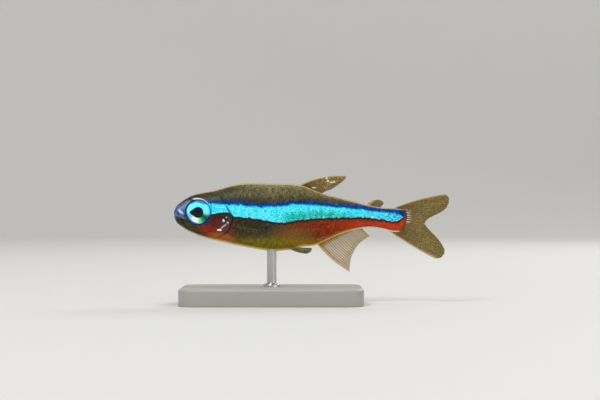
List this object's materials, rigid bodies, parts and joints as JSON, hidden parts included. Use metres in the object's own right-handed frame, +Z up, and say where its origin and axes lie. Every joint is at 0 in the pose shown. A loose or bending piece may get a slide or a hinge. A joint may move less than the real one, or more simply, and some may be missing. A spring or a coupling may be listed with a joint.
{
  "type": "green neon tetra",
  "caption": "Life-size green neon tetra, a small slender aquarium fish, swimming level with its fins spread and held over a flat base by a thin rod.",
  "frame": {"origin": "on the underside of the stand's base, midway between the tip of the snout and the tips of the tail fin", "axes": "+X from the snout to the tail, +Y out of the fish's right side, +Z up"},
  "size_m": [0.0289, 0.011, 0.0134],
  "materials": {
    "skin": "moist skin and small smooth scales, olive back, blue-green stripe, golden belly",
    "tail_skin": "moist skin and small smooth scales, red under the stripe",
    "eye": "clear, wet and shining, blue-green iris round a dark pupil",
    "fin": "thin see-through membrane between fine rays",
    "stand_resin": "satin cast resin",
    "stand_steel": "fine brushed rod"
  },
  "bodies": {
    "root": {"head": "skin", "trunk": "skin", "tail_stalk": "tail_skin", "eye_left": "eye", "eye_right": "eye", "dorsal_fin": "fin", "adipose_fin": "fin", "anal_fin": "fin", "tail_fin_upper": "fin", "tail_fin_lower": "fin", "pelvic_fin_left": "fin", "pelvic_fin_right": "fin", "pectoral_fin_left": "fin", "pectoral_fin_right": "fin", "stand_base": "stand_resin", "stand_rod": "stand_steel"}
  },
  "joints": []
}
